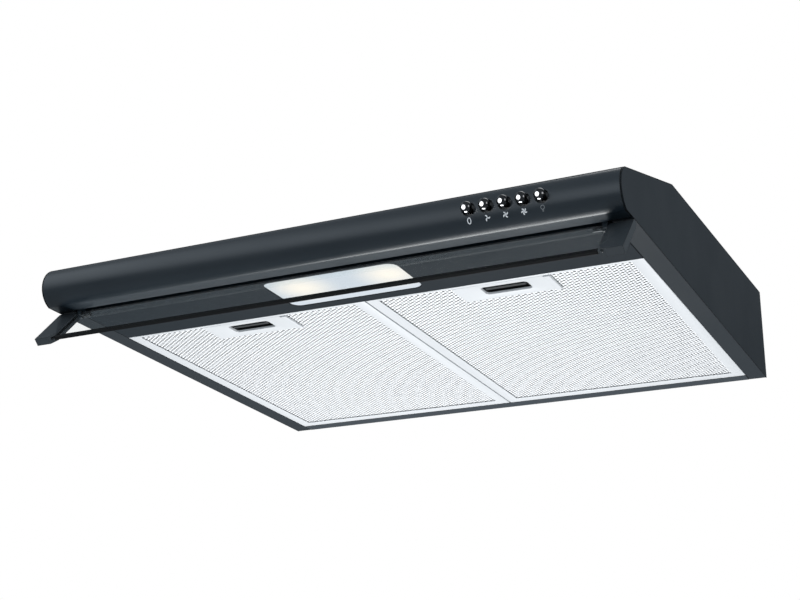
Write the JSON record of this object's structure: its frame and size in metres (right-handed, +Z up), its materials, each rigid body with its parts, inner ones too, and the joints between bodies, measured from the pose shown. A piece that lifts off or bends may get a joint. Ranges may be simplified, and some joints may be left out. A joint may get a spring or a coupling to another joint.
{
  "type": "under cabinet range hood",
  "caption": "Slim under cabinet cooker hood with a rounded fascia, push buttons, a tilting clear visor, twin mesh grease filters and a top duct collar.",
  "frame": {"origin": "centre of the four cabinet screw holes, on the outer face of the flat top", "axes": "+Z up, +Y to the wall behind the hood, +X to the right of someone facing the controls"},
  "size_m": [0.598, 0.5202, 0.1501],
  "materials": {
    "black_paint": "satin anthracite powder coat",
    "black_plastic": "satin moulded",
    "clear_visor": "clear polished",
    "steel_pin": "bright zinc plated",
    "chrome_button": "polished chrome",
    "switch_plastic": "fine moulded texture",
    "zinc_sheet": "galvanised",
    "frosted_lens": "frosted translucent",
    "lamp_ceramic": "glazed white",
    "bulb_glass": "opal",
    "filter_aluminium": "bright rolled foil",
    "latch_plastic": "satin moulded",
    "spring_steel": "drawn wire",
    "motor_steel": "grey enamel",
    "bush_rubber": "matt",
    "capacitor_case": "smooth"
  },
  "bodies": {
    "hood_body": {"back_panel": "black_paint", "body_screws": "steel_pin", "cable_gland": "switch_plastic", "capacitor": "capacitor_case", "capacitor_clip": "zinc_sheet", "casing_screws": "steel_pin", "damper_axle": "steel_pin", "front_fascia": "black_paint", "inlet_guard": "switch_plastic", "lamp_bulb_left": "bulb_glass", "lamp_bulb_right": "bulb_glass", "lamp_lens": "frosted_lens", "lamp_panel": "black_paint", "lamp_socket_left": "lamp_ceramic", "lamp_socket_right": "lamp_ceramic", "lamp_tray": "zinc_sheet", "motor_body": "motor_steel", "motor_bracket": "zinc_sheet", "motor_bushes": "bush_rubber", "motor_screws": "steel_pin", "outlet_collar": "switch_plastic", "side_panel_left": "black_paint", "side_panel_right": "black_paint", "switch_block": "switch_plastic", "switch_bracket": "zinc_sheet", "terminal_box": "switch_plastic", "terminal_lid": "switch_plastic", "top_panel": "black_paint", "visor_bracket_left": "black_plastic", "visor_bracket_right": "black_plastic", "visor_pin_left": "steel_pin", "visor_pin_right": "steel_pin", "volute_casing": "switch_plastic", "volute_lid": "switch_plastic"},
    "visor": {"visor_rail": "black_plastic", "visor_pane": "clear_visor", "visor_trim": "black_plastic", "visor_arm_left": "black_plastic", "visor_arm_right": "black_plastic"},
    "impeller": {"impeller": "switch_plastic", "motor_shaft": "steel_pin"},
    "flap_front": {"damper_flap_front": "switch_plastic"},
    "flap_back": {"damper_flap_back": "switch_plastic"},
    "filter_left": {"filter_frame_left": "filter_aluminium", "filter_mesh_left": "filter_aluminium", "filter_core_left": "filter_aluminium", "latch_plate_left": "filter_aluminium", "latch_spring_left": "spring_steel"},
    "latch_left": {"latch_slider_left": "latch_plastic"},
    "filter_right": {"filter_frame_right": "filter_aluminium", "filter_mesh_right": "filter_aluminium", "filter_core_right": "filter_aluminium", "latch_plate_right": "filter_aluminium", "latch_spring_right": "spring_steel"},
    "latch_right": {"latch_slider_right": "latch_plastic"},
    "button_off": {"button_off": "chrome_button"},
    "button_speed_1": {"button_speed_1": "chrome_button"},
    "button_speed_2": {"button_speed_2": "chrome_button"},
    "button_speed_3": {"button_speed_3": "chrome_button"},
    "button_light": {"button_light": "chrome_button"}
  },
  "joints": [
    {"name": "visor_swing", "type": "hinge", "parent": "hood_body", "child": "visor", "pos_m": [0, -0.32771, -0.08325], "axis": [1, 0, 0], "range_deg": [-45, 132]},
    {"name": "filter_left_drop", "type": "hinge", "parent": "hood_body", "child": "filter_left", "pos_m": [-0.14025, 0.13002, -0.09912], "axis": [1, 0, 0], "range_deg": [0, 60]},
    {"name": "latch_left_pull", "type": "slide", "parent": "filter_left", "child": "latch_left", "axis": [0, 0.999, -0.0441], "range_m": [0, 0.0035], "stiffness_N_per_m": 400, "springref_m": -0.003, "deforming": ["latch_spring_left"]},
    {"name": "filter_right_drop", "type": "hinge", "parent": "hood_body", "child": "filter_right", "pos_m": [0.14025, 0.13002, -0.09912], "axis": [1, 0, 0], "range_deg": [0, 60]},
    {"name": "latch_right_pull", "type": "slide", "parent": "filter_right", "child": "latch_right", "axis": [0, 0.999, -0.0441], "range_m": [0, 0.0035], "stiffness_N_per_m": 400, "springref_m": -0.003, "deforming": ["latch_spring_right"]},
    {"name": "button_off_press", "type": "slide", "parent": "hood_body", "child": "button_off", "axis": [0, 1, 0], "range_m": [0, 0.0035], "stiffness_N_per_m": 300, "springref_m": -0.002},
    {"name": "button_speed_1_press", "type": "slide", "parent": "hood_body", "child": "button_speed_1", "axis": [0, 1, 0], "range_m": [0, 0.0035], "stiffness_N_per_m": 300, "springref_m": -0.002},
    {"name": "button_speed_2_press", "type": "slide", "parent": "hood_body", "child": "button_speed_2", "axis": [0, 1, 0], "range_m": [0, 0.0035], "stiffness_N_per_m": 300, "springref_m": -0.002},
    {"name": "button_speed_3_press", "type": "slide", "parent": "hood_body", "child": "button_speed_3", "axis": [0, 1, 0], "range_m": [0, 0.0035], "stiffness_N_per_m": 300, "springref_m": -0.002},
    {"name": "button_light_press", "type": "slide", "parent": "hood_body", "child": "button_light", "axis": [0, 1, 0], "range_m": [0, 0.0035], "stiffness_N_per_m": 300, "springref_m": -0.002},
    {"name": "impeller_spin", "type": "hinge", "parent": "hood_body", "child": "impeller", "pos_m": [-0.045, -0.085, -0.062], "axis": [0, 0, 1], "continuous": true},
    {"name": "flap_front_lift", "type": "hinge", "parent": "hood_body", "child": "flap_front", "pos_m": [0, 0.04, 0.012], "axis": [-1, 0, 0], "range_deg": [0, 70]},
    {"name": "flap_back_lift", "type": "hinge", "parent": "hood_body", "child": "flap_back", "pos_m": [0, 0.04, 0.012], "axis": [1, 0, 0], "range_deg": [0, 70]}
  ]
}
